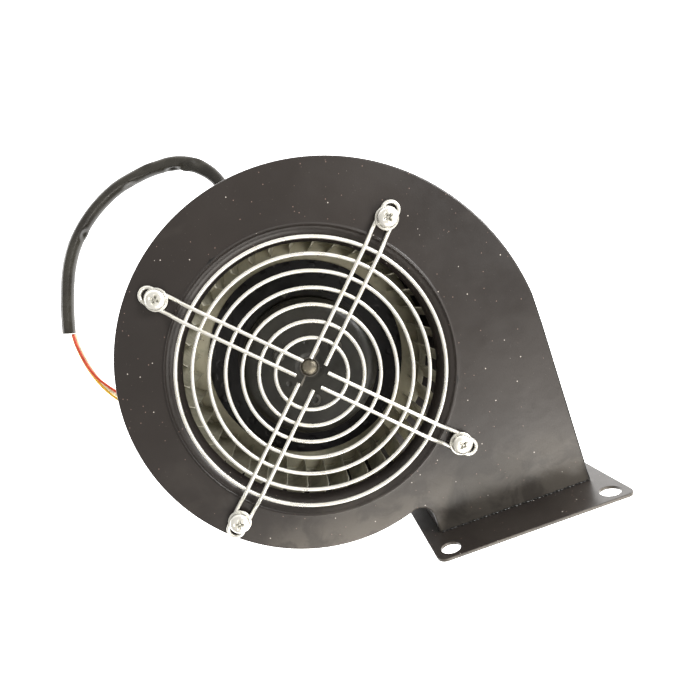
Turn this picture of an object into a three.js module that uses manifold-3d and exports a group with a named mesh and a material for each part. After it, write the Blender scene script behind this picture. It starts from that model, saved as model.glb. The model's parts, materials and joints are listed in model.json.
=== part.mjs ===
// Combustion fan: a small centrifugal blower with an external-rotor motor, lying on its motor
// cover. Millimetres, +Z up. The fan axis is the Z axis and the inlet looks along +Z. The origin
// is on the fan axis, on the rear face of the motor cover. The outlet blows along -Y.

import * as THREE from "three";
import { mergeVertices } from "three/addons/utils/BufferGeometryUtils.js";
import Module from "manifold-3d";

const wasm = await Module();
wasm.setup();

// ---- driving dimensions ----

const SHEET = 1.0;
const GAP = 0.2;
const REAR_FACE_Z = 34;
const FRONT_FACE_Z = 96;
const MID_Z = (REAR_FACE_Z + FRONT_FACE_Z) / 2;

const SCROLL_START_R = 79.6;
const SCROLL_GROWTH = 0.055; // mm of radius for each degree of turn
const SCROLL_FLARE = 8.8; // extra radius gained, mostly in the last quarter
const SCROLL_FLARE_POWER = 5;
const SCROLL_TURN = 286.94; // degrees of turn; the wrap starts at this angle, on the tongue
const TONGUE = { x: 25.0, y: -82.07, r: 6.2 };
const NECK_LEFT_X = 31.2;
const NECK_RIGHT_X = 104.5;
const NECK_TOP_Y = -14; // where the long neck wall begins
const SEAM = 0.6; // how far the side plates stand out past the wrap

const FLANGE = { x: 68, width: 88, height: 104, thick: 1.5, faceY: -91.5, corner: 4 };
const FLANGE_HOLE = { r: 4.25, spacingX: 73, spacingZ: 90 };
const FLANGE_BACK_Y = FLANGE.faceY + FLANGE.thick;

const INLET = { throatR: 58, bellR: 5.5, lipZ: 88.5 };
const GUARD_HOLE_XY = 52.5; // 105 mm square, the usual 120 mm guard pattern
const WASHER = { innerR: 2.3, outerR: 5.2, thick: 0.8 };
const GUARD_SCREW = { headR: 4.7, headHeight: 3, shankR: 2, shankLength: 9 };
const GUARD = { wireR: 0.8, outerR: 59, pitch: 7.2, rings: 7, z: 99.8, spokeZ: 101.1 };
const SPOKE = { halfWidth: 3.5, innerR: 6, footR: 67, loopR: 78.4, jogR: 61.5 };

const BLADES = 36;
const IMPELLER = { innerR: 57.5, outerR: 66, lowZ: 39.2, highZ: 80 };
const BLADE = { thick: 0.7, innerHeading: 25, outerHeading: 75 }; // degrees back from the radius
const CAGE_BAND = { innerR: 61.5, height: 1.6 };
const BACK_DISC = { innerR: 33.4, outerR: 53, lowZ: 39.2, highZ: 40.2 };
const REAR_RING = { innerR: 48, outerR: 66.6, lowZ: 38, highZ: 39 };
const FRONT_RING = { innerR: 61, outerR: 66.6, lowZ: 80.2, highZ: 81.2 };
const CAN = { r: 33, lowZ: 40.5, topZ: 79.8, wall: 1.2, corner: 4, rimR: 37, boreR: 4.4 };
const HUB = { bossR: 9, bossZ: 72.4, plateR: 20, plateZ: 75.6, topZ: 78.4 };
const HUB_RIVET_R = 15.7;
const RIVET = { shankR: 1.6, drillR: 1.9, lowZ: -3.9, seatZ: 0.1, headR: 2.9 };
const RIVET_CROWN = { r: 2.4, z: 1, topZ: 1.5 };
const SHAFT = { r: 4, lowZ: 8, highZ: 81.2, ease: 1.2 };
const BEARING = { boreR: 4.2, innerRaceR: 6, outerRaceR: 8, outerR: 11, width: 7, frontZ: 63, rearZ: 14 };

const CIRCLIP = { outerR: 6, lowZ: 11.6, highZ: 12.6, openAngle: 50 };
const WAVE_WASHER = { innerR: 8.4, outerR: 10.8, lowZ: 21.4, highZ: 22 };

const SCREW_HOLE_R = 2.4;
const REAR_OPENING_R = 39;
const MOTOR_FLANGE = { r: 52, lowZ: 31.2, highZ: 33.8 };
const BEARING_TUBE = { innerR: 11.2, outerR: 13, lowZ: 12.5, highZ: 71 };
const COVER = { r: 43, wall: 1.2, rimZ: 29.9, topZ: 31, corner: 5 };
const MOTOR_SCREW_R = 47.5;
const MOTOR_SCREW = { headR: 3.9, headHeight: 2.6, shankR: 2, shankLength: 7 };
const LEAD_HOLE = { r: 5.6, z: 12.5, angle: 100 };
const GROMMET = { play: 0.3, lip: 1.6, taper: 0.8, innerEnd: -3.8, outerEnd: 2.6 };
const GROOVE = { low: -2.2, high: 0.2 }; // along the grommet, from the cover's outer face

const STATOR = { r: 27.2, slotR: 19, toothR: 25.4, teeth: 12, lowZ: 46, highZ: 66 };
const WINDING = { innerR: 15, outerR: 25.5, round: 2, lowZ: 38.5, highZ: 73, gap: 0.3 };
const LAMINATIONS = { innerR: 28, outerR: 31.5, lowZ: 46, highZ: 72 };

const SLEEVE_R = 4;
const WIRE_R = 0.8;

// ---- materials ----

function material(colour, roughness, metalness) {
  return new THREE.MeshStandardMaterial({ color: colour, roughness, metalness });
}

const blackPaint = () => material(0x2a2826, 0.45, 0.2);
const zinc = () => material(0xc9cac6, 0.3, 0.9);
const darkSteel = () => material(0x33322f, 0.5, 0.6);
const brightSteel = () => material(0xb8b8b4, 0.25, 1.0);
const castAluminium = () => material(0x9a9b98, 0.55, 0.8);
const copper = () => material(0xb06a3a, 0.4, 0.8);
const rubber = () => material(0x1c1b1a, 0.8, 0.0);
const plastic = (colour) => material(colour, 0.5, 0.0);

// ---- solid helpers ----

function toSolid(geometry) {
  const bare = geometry.clone();
  bare.deleteAttribute("normal");
  bare.deleteAttribute("uv");
  const merged = mergeVertices(bare, 1e-4);
  const vertProperties = new Float32Array(merged.attributes.position.array);
  const triVerts = new Uint32Array(merged.index.array);
  return new wasm.Manifold(new wasm.Mesh({ numProp: 3, vertProperties, triVerts }));
}

function toGeometry(solid) {
  const mesh = solid.getMesh();
  const geometry = new THREE.BufferGeometry();
  geometry.setAttribute("position", new THREE.Float32BufferAttribute(mesh.vertProperties, 3));
  geometry.setIndex(new THREE.Uint32BufferAttribute(mesh.triVerts, 1));
  geometry.computeVertexNormals();
  return geometry;
}

function join(geometries) {
  return toGeometry(geometries.map(toSolid).reduce((sum, next) => sum.add(next)));
}

function cut(geometry, tools) {
  return toGeometry(tools.map(toSolid).reduce((rest, tool) => rest.subtract(tool), toSolid(geometry)));
}

function polar(radius, degrees) {
  const angle = THREE.MathUtils.degToRad(degrees);
  return new THREE.Vector2(radius * Math.cos(angle), radius * Math.sin(angle));
}

// A turned piece: [radius, z] pairs, anticlockwise seen with the radius to the right and Z up.
function turned(profile, segments) {
  const points = profile.map(([radius, z]) => new THREE.Vector2(radius, z));
  const geometry = new THREE.LatheGeometry(points, segments);
  geometry.rotateX(Math.PI / 2);
  return geometry;
}

function ring(innerR, outerR, lowZ, highZ, segments) {
  const corners = [[innerR, lowZ], [outerR, lowZ], [outerR, highZ], [innerR, highZ], [innerR, lowZ]];
  return turned(corners, segments);
}

function flatRing({ innerR, outerR, lowZ, highZ }, segments) {
  return ring(innerR, outerR, lowZ, highZ, segments);
}

function peg(radius, lowZ, highZ, x, y, segments = 16) {
  const geometry = new THREE.CylinderGeometry(radius, radius, highZ - lowZ, segments);
  geometry.rotateX(Math.PI / 2);
  geometry.translate(x, y, (lowZ + highZ) / 2);
  return geometry;
}

function slab(points, lowZ, highZ, holes = []) {
  const shape = new THREE.Shape(points);
  shape.holes = holes.map((hole) => new THREE.Path(hole));
  const geometry = new THREE.ExtrudeGeometry(shape, { depth: highZ - lowZ, bevelEnabled: false });
  geometry.translate(0, 0, lowZ);
  return geometry;
}

function circle(radius, x, y, segments) {
  const step = 360 / segments;
  return Array.from({ length: segments }, (_, i) => polar(radius, i * step).add(new THREE.Vector2(x, y)));
}

// A round rod swept along a curve.
function rod(curve, radius, sides, steps) {
  const section = new THREE.Shape(circle(radius, 0, 0, sides));
  return new THREE.ExtrudeGeometry(section, { steps, extrudePath: curve, bevelEnabled: false });
}

const assembly = new THREE.Group();

function place(name, geometry, finish, position = [0, 0, 0], turn = 0) {
  const mesh = new THREE.Mesh(geometry, finish);
  mesh.name = name;
  mesh.position.set(...position);
  mesh.rotation.z = THREE.MathUtils.degToRad(turn);
  assembly.add(mesh);
}

// ---- scroll outline ----

function scrollRadius(turn) {
  const share = turn / SCROLL_TURN;
  return SCROLL_START_R + SCROLL_GROWTH * turn + SCROLL_FLARE * share ** SCROLL_FLARE_POWER;
}

// The wrap line from the outlet up the short neck wall, round the tongue, round the scroll and
// down the long wall. inset moves it into the casing.
function wrapLine(inset, endY) {
  const line = [new THREE.Vector2(NECK_LEFT_X + inset, endY)];
  const tongueR = TONGUE.r + inset;
  const tongueArc = SCROLL_TURN - 180;
  const tongueSteps = 6;
  for (let i = 0; i <= tongueSteps; i += 1) {
    const bend = polar(tongueR, (tongueArc * i) / tongueSteps);
    line.push(bend.add(new THREE.Vector2(TONGUE.x, TONGUE.y)));
  }
  const steps = 36;
  for (let i = 1; i <= steps; i += 1) {
    const turn = (SCROLL_TURN * i) / steps;
    const point = polar(scrollRadius(turn) - inset, SCROLL_TURN - turn);
    line.push(new THREE.Vector2(Math.min(point.x, NECK_RIGHT_X - inset), point.y));
  }
  line.push(new THREE.Vector2(NECK_RIGHT_X - inset, NECK_TOP_Y));
  line.push(new THREE.Vector2(NECK_RIGHT_X - inset, endY));
  return line;
}

const cornerAngles = [45, 135, 225, 315];
const guardHoleR = GUARD_HOLE_XY * Math.SQRT2;

// Drills for four screw holes on a circle of the given radius.
function screwDrills(circleR, lowZ, highZ) {
  return cornerAngles.map((angle) => {
    const at = polar(circleR, angle);
    return peg(SCREW_HOLE_R, lowZ, highZ, at.x, at.y, 12);
  });
}

// ---- casing ----

function frontPlate() {
  const arcSteps = 4;
  const centre = { r: INLET.throatR + INLET.bellR, z: FRONT_FACE_Z - INLET.bellR };
  const outer = [];
  const inner = [];
  for (let i = 0; i <= arcSteps; i += 1) {
    const angle = (Math.PI / 2) * (1 + i / arcSteps);
    outer.push([centre.r + INLET.bellR * Math.cos(angle), centre.z + INLET.bellR * Math.sin(angle)]);
    const small = INLET.bellR - SHEET;
    inner.push([centre.r + small * Math.cos(angle), centre.z + small * Math.sin(angle)]);
  }
  const overlap = 1;
  const profile = [
    [centre.r + overlap, FRONT_FACE_Z],
    ...outer,
    [INLET.throatR, INLET.lipZ],
    [INLET.throatR + SHEET, INLET.lipZ],
    ...inner.reverse(),
    [centre.r + overlap, FRONT_FACE_Z - SHEET],
    [centre.r + overlap, FRONT_FACE_Z],
  ];
  const segments = 40;
  const flat = slab(wrapLine(0, FLANGE_BACK_Y + GAP), FRONT_FACE_Z - SHEET, FRONT_FACE_Z, [
    circle(centre.r, 0, 0, segments),
  ]);
  const drills = screwDrills(guardHoleR, FRONT_FACE_Z - 2 * SHEET, FRONT_FACE_Z + SHEET);
  return cut(join([flat, turned(profile, segments)]), drills);
}

function rearPlate() {
  const flat = slab(wrapLine(0, FLANGE_BACK_Y + GAP), REAR_FACE_Z, REAR_FACE_Z + SHEET, [
    circle(REAR_OPENING_R, 0, 0, 32),
  ]);
  return cut(flat, screwDrills(MOTOR_SCREW_R, REAR_FACE_Z - SHEET, REAR_FACE_Z + 2 * SHEET));
}

function scrollWrap() {
  const endY = FLANGE_BACK_Y + GAP;
  const strip = [...wrapLine(SEAM, endY), ...wrapLine(SEAM + SHEET, endY).reverse()];
  return slab(strip, REAR_FACE_Z + SHEET + GAP, FRONT_FACE_Z - SHEET - GAP);
}

function outletFlange() {
  const halfX = FLANGE.width / 2;
  const halfZ = FLANGE.height / 2;
  const outline = [];
  for (const [signX, signZ, start] of [[1, 1, 0], [-1, 1, 90], [-1, -1, 180], [1, -1, 270]]) {
    for (let i = 0; i <= 4; i += 1) {
      const arc = polar(FLANGE.corner, start + i * 22.5);
      const centreX = FLANGE.x + signX * (halfX - FLANGE.corner);
      const centreZ = signZ * (halfZ - FLANGE.corner);
      outline.push(arc.add(new THREE.Vector2(centreX, centreZ)));
    }
  }
  const inset = SEAM + SHEET;
  const mouthHalfZ = MID_Z - REAR_FACE_Z - SHEET;
  const left = NECK_LEFT_X + inset;
  const right = NECK_RIGHT_X - inset;
  const mouth = [[left, -mouthHalfZ], [right, -mouthHalfZ], [right, mouthHalfZ], [left, mouthHalfZ]];
  const holes = [mouth.map(([x, z]) => new THREE.Vector2(x, z))];
  for (const signX of [-1, 1]) {
    for (const signZ of [-1, 1]) {
      const x = FLANGE.x + (signX * FLANGE_HOLE.spacingX) / 2;
      holes.push(circle(FLANGE_HOLE.r, x, (signZ * FLANGE_HOLE.spacingZ) / 2, 20));
    }
  }
  const plate = slab(outline, 0, FLANGE.thick, holes);
  plate.rotateX(Math.PI / 2);
  plate.translate(0, FLANGE_BACK_Y, MID_Z);
  return plate;
}

function addCasing() {
  place("front_plate", frontPlate(), blackPaint());
  place("scroll_wrap", scrollWrap(), blackPaint());
  place("rear_plate", rearPlate(), blackPaint());
  place("outlet_flange", outletFlange(), blackPaint());
}

// ---- finger guard ----

// One spoke: a wire bent double, with both free ends near the axis and its loop round a screw.
function guardSpoke(angle) {
  const footZ = FRONT_FACE_Z + GUARD.wireR + GAP;
  const half = SPOKE.halfWidth;
  const straight = [0, 0.33, 0.66, 0.96].map((share) => {
    return [THREE.MathUtils.lerp(SPOKE.innerR, SPOKE.jogR, share), GUARD.spokeZ];
  });
  const profile = [...straight, [SPOKE.jogR, GUARD.spokeZ], [SPOKE.footR, footZ], [SPOKE.loopR, footZ]];
  const leg = (side) => profile.map(([radius, z]) => new THREE.Vector3(radius, side * half, z));
  const loop = [60, 30, 0, -30, -60].map((degrees) => {
    const bend = polar(half, degrees);
    return new THREE.Vector3(SPOKE.loopR + bend.x, bend.y, footZ);
  });
  const points = [...leg(1), ...loop, ...leg(-1).reverse()];
  const line = new THREE.CatmullRomCurve3(points, false, "catmullrom", 0.15);
  const geometry = rod(line, GUARD.wireR, 5, 24);
  geometry.rotateZ(THREE.MathUtils.degToRad(angle));
  return geometry;
}

function fingerGuard() {
  const wires = cornerAngles.map(guardSpoke);
  for (let i = 0; i < GUARD.rings; i += 1) {
    const radius = GUARD.outerR - i * GUARD.pitch;
    const hoop = new THREE.TorusGeometry(radius, GUARD.wireR, 5, radius > 35 ? 28 : 20);
    hoop.translate(0, 0, GUARD.z);
    wires.push(hoop);
  }
  return join(wires);
}

function panScrew({ headR, headHeight, shankR, shankLength }) {
  const dome = headR * 0.72;
  const profile = [
    [0, -shankLength],
    [shankR, -shankLength],
    [shankR, 0],
    [headR, 0],
    [headR, headHeight * 0.45],
    [dome, headHeight * 0.88],
    [0, headHeight],
  ];
  return turned(profile, 12);
}

function addGuard() {
  const wireTop = FRONT_FACE_Z + GAP + 2 * GUARD.wireR;
  const washerZ = wireTop + GAP / 2;
  const screwZ = washerZ + WASHER.thick + GAP / 2;
  place("finger_guard", fingerGuard(), zinc());
  cornerAngles.forEach((angle, i) => {
    const at = polar(guardHoleR, angle);
    const washer = ring(WASHER.innerR, WASHER.outerR, 0, WASHER.thick, 12);
    place(`guard_washer_${i + 1}`, washer, zinc(), [at.x, at.y, washerZ]);
    place(`guard_screw_${i + 1}`, panScrew(GUARD_SCREW), zinc(), [at.x, at.y, screwZ], angle);
  });
}

// ---- motor, fixed side ----

function motorFlange() {
  const { r, lowZ, highZ } = MOTOR_FLANGE;
  const tube = BEARING_TUBE;
  const lip = 8;
  const seatZ = BEARING.frontZ - 1;
  const profile = [
    [tube.innerR, tube.lowZ],
    [tube.outerR, tube.lowZ],
    [tube.outerR, lowZ],
    [r, lowZ],
    [r, highZ],
    [tube.outerR, highZ],
    [tube.outerR, tube.highZ],
    [tube.innerR, tube.highZ],
    [tube.innerR, seatZ],
    [lip, seatZ],
    [lip, seatZ - 2],
    [tube.innerR, seatZ - 2],
    [tube.innerR, tube.lowZ],
  ];
  return cut(turned(profile, 28), screwDrills(MOTOR_SCREW_R, lowZ - 1, highZ + 1));
}

function motorCover() {
  const { r, wall, rimZ, topZ, corner } = COVER;
  const rounding = (radius) => [0, 1, 2].map((i) => {
    const angle = -Math.PI / 2 + (i * Math.PI) / 4;
    return [r - corner + radius * Math.cos(angle), corner + radius * Math.sin(angle)];
  });
  const profile = [
    [0, 0],
    ...rounding(corner),
    [r, rimZ],
    [MOTOR_FLANGE.r, rimZ],
    [MOTOR_FLANGE.r, topZ],
    [r - wall, topZ],
    ...rounding(corner - wall).reverse(),
    [0, wall],
  ];
  const drills = screwDrills(MOTOR_SCREW_R, rimZ - 1, topZ + 1);
  const leadHole = new THREE.CylinderGeometry(LEAD_HOLE.r, LEAD_HOLE.r, 10, 16);
  leadHole.translate(0, r, 0);
  leadHole.rotateZ(THREE.MathUtils.degToRad(LEAD_HOLE.angle - 90));
  leadHole.translate(0, 0, LEAD_HOLE.z);
  return cut(turned(profile, 32), [...drills, leadHole]);
}

// Rubber grommet with a groove that takes the edge of the lead hole.
function leadGrommet() {
  const bore = SLEEVE_R + GROMMET.play;
  const neck = LEAD_HOLE.r - GROMMET.play;
  const rim = LEAD_HOLE.r + GROMMET.lip;
  const profile = [
    [bore, GROMMET.innerEnd],
    [rim, GROMMET.innerEnd],
    [rim, GROOVE.low],
    [neck, GROOVE.low],
    [neck, GROOVE.high],
    [rim, GROOVE.high],
    [rim - GROMMET.taper, GROMMET.outerEnd],
    [bore, GROMMET.outerEnd],
    [bore, GROMMET.innerEnd],
  ];
  const geometry = turned(profile, 20);
  geometry.rotateX(-Math.PI / 2);
  geometry.translate(0, COVER.r, 0);
  geometry.rotateZ(THREE.MathUtils.degToRad(LEAD_HOLE.angle - 90));
  geometry.translate(0, 0, LEAD_HOLE.z);
  return geometry;
}

function statorCore() {
  const { r, slotR, toothR, teeth, lowZ, highZ } = STATOR;
  const tip = 13.5;
  const tooth = [[slotR, -9], [toothR, -7], [r, -tip], [r, 0], [r, tip], [toothR, 7], [slotR, 9]];
  const outline = [];
  for (let i = 0; i < teeth; i += 1) {
    const middle = (i * 360) / teeth;
    for (const [radius, offset] of tooth) {
      outline.push(polar(radius, middle + offset));
    }
  }
  return slab(outline, lowZ, highZ, [circle(BEARING_TUBE.outerR + 0.3, 0, 0, 20)]);
}

function winding(lowZ, highZ) {
  const { innerR, outerR, round } = WINDING;
  const profile = [
    [innerR, lowZ],
    [outerR - round, lowZ],
    [outerR, lowZ + round],
    [outerR, highZ - round],
    [outerR - round, highZ],
    [innerR, highZ],
    [innerR, lowZ],
  ];
  return turned(profile, 20);
}

function addMotorFixed() {
  place("motor_flange", motorFlange(), castAluminium());
  place("motor_cover", motorCover(), blackPaint());
  cornerAngles.forEach((angle, i) => {
    const at = polar(MOTOR_SCREW_R, angle);
    const screw = panScrew(MOTOR_SCREW);
    screw.rotateX(Math.PI);
    place(`motor_screw_${i + 1}`, screw, zinc(), [at.x, at.y, COVER.rimZ - GAP / 2], angle);
  });
  place("stator_core", statorCore(), darkSteel());
  place("winding_front", winding(STATOR.highZ + WINDING.gap, WINDING.highZ), copper());
  place("winding_rear", winding(WINDING.lowZ, STATOR.lowZ - WINDING.gap), copper());
  for (const [name, z] of [["front", BEARING.frontZ], ["rear", BEARING.rearZ]]) {
    const outerRace = ring(BEARING.outerRaceR, BEARING.outerR, z, z + BEARING.width, 20);
    place(`bearing_${name}_outer_race`, outerRace, brightSteel());
  }
  place("wave_washer", flatRing(WAVE_WASHER, 20), brightSteel());
  place("lead_grommet", leadGrommet(), rubber());
}

// ---- rotor ----

function shaft() {
  const { r, lowZ, highZ, ease } = SHAFT;
  const profile = [
    [0, lowZ],
    [r - ease / 2, lowZ],
    [r, lowZ + ease / 2],
    [r, highZ - ease],
    [r - ease, highZ - 0.3],
    [0, highZ],
  ];
  return turned(profile, 24);
}

const rivetAngles = [20, 140, 260];

function rivetDrills(lowZ, highZ) {
  return rivetAngles.map((angle) => {
    const at = polar(HUB_RIVET_R, angle);
    return peg(RIVET.drillR, lowZ, highZ, at.x, at.y, 10);
  });
}

function rotorHub() {
  const { bossR, bossZ, plateR, plateZ, topZ } = HUB;
  const profile = [
    [BEARING.boreR, bossZ],
    [bossR, bossZ],
    [bossR, plateZ],
    [plateR, plateZ],
    [plateR, topZ],
    [BEARING.boreR, topZ],
    [BEARING.boreR, bossZ],
  ];
  return cut(turned(profile, 20), rivetDrills(plateZ - 1, topZ + 1));
}

function rotorCan() {
  const { r, lowZ, topZ, wall, corner, rimR, boreR } = CAN;
  const rounding = (radius) => [0, 1, 2].map((i) => {
    const angle = (i * Math.PI) / 4;
    return [r - corner + radius * Math.cos(angle), topZ - corner + radius * Math.sin(angle)];
  });
  const profile = [
    [r - wall, lowZ],
    [rimR, lowZ],
    [rimR, lowZ + wall],
    [r, lowZ + wall],
    ...rounding(corner),
    [boreR, topZ],
    [boreR, topZ - wall],
    ...rounding(corner - wall).reverse(),
    [r - wall, lowZ],
  ];
  return cut(turned(profile, 32), rivetDrills(topZ - 2 * wall, topZ + wall));
}

function hubRivet() {
  const { shankR, lowZ, seatZ, headR } = RIVET;
  const profile = [
    [0, lowZ],
    [shankR, lowZ],
    [shankR, seatZ],
    [headR, seatZ],
    [RIVET_CROWN.r, RIVET_CROWN.z],
    [0, RIVET_CROWN.topZ],
  ];
  return turned(profile, 12);
}

// One forward-curved blade, an arc that leans further back the further out it gets. Its outer edge
// leads the way round, clockwise seen from the inlet.
function blade(angle) {
  const { innerR, outerR, lowZ, highZ } = IMPELLER;
  const start = THREE.MathUtils.degToRad(BLADE.innerHeading);
  const end = THREE.MathUtils.degToRad(BLADE.outerHeading);
  const arcR = (outerR - innerR) / (Math.sin(end) - Math.sin(start));
  const front = [];
  const back = [];
  const stations = 3;
  for (let i = 0; i <= stations; i += 1) {
    const heading = start + ((end - start) * i) / stations;
    const radius = innerR + arcR * (Math.sin(heading) - Math.sin(start));
    const lead = arcR * (Math.cos(start) - Math.cos(heading));
    const middle = new THREE.Vector2(radius, -lead);
    const offset = new THREE.Vector2(Math.sin(heading), Math.cos(heading)).multiplyScalar(BLADE.thick / 2);
    front.push(middle.clone().sub(offset));
    back.push(middle.clone().add(offset));
  }
  const geometry = slab([...front, ...back.reverse()], lowZ, highZ);
  geometry.rotateZ(THREE.MathUtils.degToRad(angle));
  return geometry;
}

function bladeCage() {
  const { outerR, lowZ, highZ } = IMPELLER;
  const { innerR, height } = CAGE_BAND;
  const blades = Array.from({ length: BLADES }, (_, i) => blade((i * 360) / BLADES));
  const low = ring(innerR, outerR, lowZ, lowZ + height, BLADES);
  const high = ring(innerR, outerR, highZ - height, highZ, BLADES);
  return join([low, high, ...blades]);
}

function circlip() {
  const { outerR, lowZ, highZ, openAngle } = CIRCLIP;
  const steps = 14;
  const outer = [];
  const inner = [];
  for (let i = 0; i <= steps; i += 1) {
    const angle = openAngle / 2 + ((360 - openAngle) * i) / steps;
    outer.push(polar(outerR, angle));
    inner.push(polar(BEARING.boreR, angle));
  }
  return slab([...outer, ...inner.reverse()], lowZ, highZ);
}

function addRotor() {
  place("shaft", shaft(), brightSteel());
  place("rotor_hub", rotorHub(), castAluminium());
  place("rotor_can", rotorCan(), darkSteel());
  const stack = LAMINATIONS;
  place("rotor_laminations", ring(stack.innerR, stack.outerR, stack.lowZ, stack.highZ, 24), darkSteel());
  rivetAngles.forEach((angle, i) => {
    const at = polar(HUB_RIVET_R, angle);
    place(`hub_rivet_${i + 1}`, hubRivet(), darkSteel(), [at.x, at.y, CAN.topZ]);
  });
  for (const [name, z] of [["front", BEARING.frontZ], ["rear", BEARING.rearZ]]) {
    const innerRace = ring(BEARING.boreR, BEARING.innerRaceR, z, z + BEARING.width, 20);
    place(`bearing_${name}_inner_race`, innerRace, brightSteel());
  }
  place("circlip", circlip(), brightSteel());
  place("impeller_back_disc", flatRing(BACK_DISC, 36), darkSteel());
  place("impeller_rear_ring", flatRing(REAR_RING, 36), zinc());
  place("impeller_blade_cage", bladeCage(), zinc());
  place("impeller_front_ring", flatRing(FRONT_RING, 36), zinc());
}

// ---- motor lead ----

function smooth(points) {
  return new THREE.CatmullRomCurve3(points.map((point) => new THREE.Vector3(...point)));
}

// Centre line of the black sleeve: out of the grommet, down to the surface and round in a bow.
const sleeveRoute = [
  [-7.0, 39.4, 12.5],
  [-8.6, 48.8, 12.5],
  [-10.2, 58.6, 10.6],
  [-11.2, 69.0, 7.0],
  [-11.8, 80.0, 4.8],
  [-11.8, 91.0, 4.2],
  [-12.0, 101.5, 4.2],
  [-13.3, 111.0, 4.2],
  [-17.6, 119.6, 4.2],
  [-25.0, 126.8, 4.2],
  [-34.6, 131.0, 4.2],
  [-46.0, 132.2, 4.2],
  [-57.0, 131.6, 4.2],
  [-72.0, 128.8, 4.2],
  [-86.5, 122.6, 4.2],
  [-98.6, 114.6, 4.2],
  [-107.2, 106.6, 4.2],
  [-113.4, 98.6, 4.2],
  [-118.6, 89.6, 4.2],
  [-123.0, 79.6, 4.2],
  [-127.2, 68.6, 4.2],
  [-130.7, 57.4, 4.2],
];

// Centre lines of the three leads, from the sleeve's end back in under the casing.
const wireRoutes = {
  wire_red: [
    [-128.7, 56.2, 4.5],
    [-129.5, 52.6, 3.6],
    [-129.8, 49.0, 3.0],
    [-129.7, 45.2, 2.7],
    [-129.4, 41.4, 2.6],
    [-128.1, 33.5, 2.6],
    [-125.4, 26.1, 2.6],
    [-121.6, 19.5, 2.0],
    [-117.5, 13.4, 1.0],
    [-112.8, 7.4, 1.0],
    [-107.5, 1.8, 1.0],
    [-101.6, -3.1, 1.0],
    [-95.1, -7.5, 1.0],
    [-88.2, -11.4, 1.0],
    [-81.0, -14.6, 1.0],
    [-73.4, -17.3, 1.0],
  ],
  wire_yellow: [
    [-129.8, 56.4, 2.5],
    [-130.6, 52.7, 1.7],
    [-130.9, 49.0, 1.2],
    [-130.8, 45.2, 1.0],
    [-130.5, 41.3, 1.0],
    [-129.3, 33.2, 1.0],
    [-127.2, 25.4, 1.0],
    [-124.3, 18.1, 1.0],
    [-120.5, 11.4, 1.0],
    [-115.8, 5.0, 1.0],
    [-110.3, -1.0, 1.0],
    [-104.2, -6.5, 1.0],
    [-97.5, -11.3, 1.0],
    [-90.4, -15.4, 1.0],
    [-82.8, -19.0, 1.0],
    [-75.2, -21.9, 1.0],
  ],
  wire_white: [
    [-128.0, 56.0, 2.8],
    [-128.8, 52.5, 1.9],
    [-129.1, 49.0, 1.3],
    [-129.0, 45.2, 1.0],
    [-128.7, 41.5, 1.0],
    [-127.5, 33.6, 1.0],
    [-125.6, 26.0, 1.0],
    [-122.8, 18.8, 1.0],
    [-119.0, 12.4, 1.0],
    [-114.3, 6.2, 1.0],
    [-108.9, 0.4, 1.0],
    [-102.9, -4.8, 1.0],
    [-96.3, -9.4, 1.0],
    [-89.3, -13.4, 1.0],
    [-81.9, -16.8, 1.0],
    [-74.3, -19.6, 1.0],
  ],
};

function addLead() {
  place("lead_sleeve", rod(smooth(sleeveRoute), SLEEVE_R, 10, 20), rubber());
  const colours = { wire_red: 0xd2502a, wire_yellow: 0xe0b21e, wire_white: 0xe6dfb0 };
  for (const [name, route] of Object.entries(wireRoutes)) {
    place(name, rod(smooth(route), WIRE_R, 8, 20), plastic(colours[name]));
  }
}

addCasing();
addGuard();
addMotorFixed();
addRotor();
addLead();

export default assembly;
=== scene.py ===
"""Combustion fan: fine meshes, materials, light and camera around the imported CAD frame.

Sizes are in millimetres and become metres when a mesh is made. The frame is the CAD's own: the fan
axis is Z, the inlet looks along +Z, the outlet blows along -Y and the motor cover lies on the floor.
"""

import json
import math

import bmesh
import bpy
import numpy as np
from mathutils import Matrix, Vector
from mathutils.geometry import delaunay_2d_cdt


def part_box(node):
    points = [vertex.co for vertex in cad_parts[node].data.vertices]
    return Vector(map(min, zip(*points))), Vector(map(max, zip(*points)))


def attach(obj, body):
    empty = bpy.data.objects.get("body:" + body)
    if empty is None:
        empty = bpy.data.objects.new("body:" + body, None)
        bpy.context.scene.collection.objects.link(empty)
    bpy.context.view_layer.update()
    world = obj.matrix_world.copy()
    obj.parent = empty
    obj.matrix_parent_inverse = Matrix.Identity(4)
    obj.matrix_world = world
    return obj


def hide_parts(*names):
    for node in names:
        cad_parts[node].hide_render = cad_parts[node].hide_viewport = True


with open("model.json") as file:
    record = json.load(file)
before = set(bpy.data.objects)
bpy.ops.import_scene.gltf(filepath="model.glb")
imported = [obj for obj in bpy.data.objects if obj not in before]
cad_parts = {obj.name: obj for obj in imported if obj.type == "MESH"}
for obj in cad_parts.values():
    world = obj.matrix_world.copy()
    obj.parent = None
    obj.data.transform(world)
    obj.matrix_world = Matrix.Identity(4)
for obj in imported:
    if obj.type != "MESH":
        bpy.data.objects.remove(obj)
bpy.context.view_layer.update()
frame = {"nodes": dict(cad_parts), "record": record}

MM = 0.001
CASING = "casing"
ROTOR = "rotor"
UP = Vector((0, 0, 1))


def box_mm(node):
    """Lowest and highest corner of a CAD node, in millimetres."""
    low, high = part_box(node)
    return low / MM, high / MM


def new_object(name, data):
    thing = bpy.data.objects.new(name, data)
    bpy.context.scene.collection.objects.link(thing)
    return thing


# ---- camera ----


CAMERA_PLACE = Vector((-0.156, 36.74, 323.6))
CAMERA_LOOK = Vector((0.000714, -0.093808, -0.99559))
CAMERA_UP = Vector((0.33395, 0.93846, -0.08819))
CAMERA_LENS = 26.744
CAMERA_SHIFT = (0.0714, -0.0143)


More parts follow.
